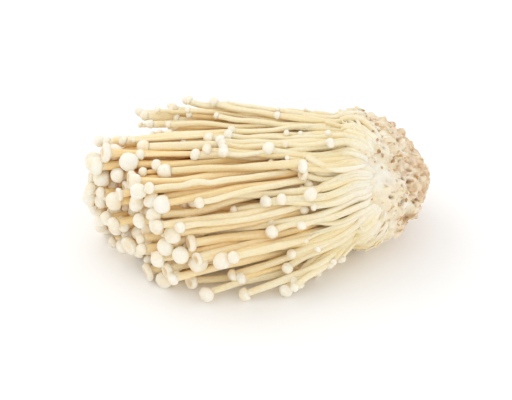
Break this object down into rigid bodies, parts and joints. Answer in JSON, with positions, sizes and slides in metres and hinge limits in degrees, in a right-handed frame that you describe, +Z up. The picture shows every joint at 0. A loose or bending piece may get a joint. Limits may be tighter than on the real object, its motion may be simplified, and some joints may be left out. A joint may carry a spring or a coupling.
{
  "type": "enoki mushroom bunch",
  "caption": "Bunch of enoki mushrooms lying on its side, long thin pale stems with small button caps fanning out of a rough root block.",
  "frame": {"origin": "under the middle of the bunch, on the surface that it lies on", "axes": "+X along the bunch from the caps to the root block, +Z up; the stems droop and spread most towards -Y"},
  "size_m": [0.1504, 0.08, 0.054],
  "materials": {
    "root_block": "rough, whitish cream mycelium with tan and brown pits",
    "clump_flesh": "smooth moist cream flesh, warmer between the stems",
    "mushroom_flesh": "smooth moist cream flesh, near-white caps"
  },
  "bodies": {
    "root": {"root_block": "root_block", "clump_01": "clump_flesh", "clump_02": "clump_flesh", "clump_03": "clump_flesh", "clump_04": "clump_flesh", "clump_05": "clump_flesh", "clump_06": "clump_flesh", "clump_07": "clump_flesh", "clump_08": "clump_flesh", "clump_09": "clump_flesh", "clump_10": "clump_flesh", "clump_11": "clump_flesh", "clump_12": "clump_flesh", "clump_13": "clump_flesh", "clump_14": "clump_flesh", "clump_15": "clump_flesh", "clump_16": "clump_flesh", "clump_17": "clump_flesh", "clump_18": "clump_flesh", "clump_19": "clump_flesh", "mushroom_01": "mushroom_flesh", "mushroom_02": "mushroom_flesh", "mushroom_03": "mushroom_flesh", "mushroom_04": "mushroom_flesh", "mushroom_05": "mushroom_flesh", "mushroom_06": "mushroom_flesh", "mushroom_07": "mushroom_flesh", "mushroom_08": "mushroom_flesh", "mushroom_09": "mushroom_flesh", "mushroom_10": "mushroom_flesh", "mushroom_11": "mushroom_flesh", "mushroom_12": "mushroom_flesh", "mushroom_13": "mushroom_flesh", "mushroom_14": "mushroom_flesh", "mushroom_15": "mushroom_flesh", "mushroom_16": "mushroom_flesh", "mushroom_17": "mushroom_flesh", "mushroom_18": "mushroom_flesh", "mushroom_19": "mushroom_flesh", "mushroom_20": "mushroom_flesh", "mushroom_21": "mushroom_flesh", "mushroom_22": "mushroom_flesh", "mushroom_23": "mushroom_flesh", "mushroom_24": "mushroom_flesh", "mushroom_25": "mushroom_flesh", "mushroom_26": "mushroom_flesh", "mushroom_27": "mushroom_flesh", "mushroom_28": "mushroom_flesh", "mushroom_29": "mushroom_flesh", "mushroom_30": "mushroom_flesh", "mushroom_31": "mushroom_flesh", "mushroom_32": "mushroom_flesh", "mushroom_33": "mushroom_flesh", "mushroom_34": "mushroom_flesh", "mushroom_35": "mushroom_flesh", "mushroom_36": "mushroom_flesh", "mushroom_37": "mushroom_flesh", "mushroom_38": "mushroom_flesh", "mushroom_39": "mushroom_flesh", "mushroom_40": "mushroom_flesh"}
  },
  "joints": []
}
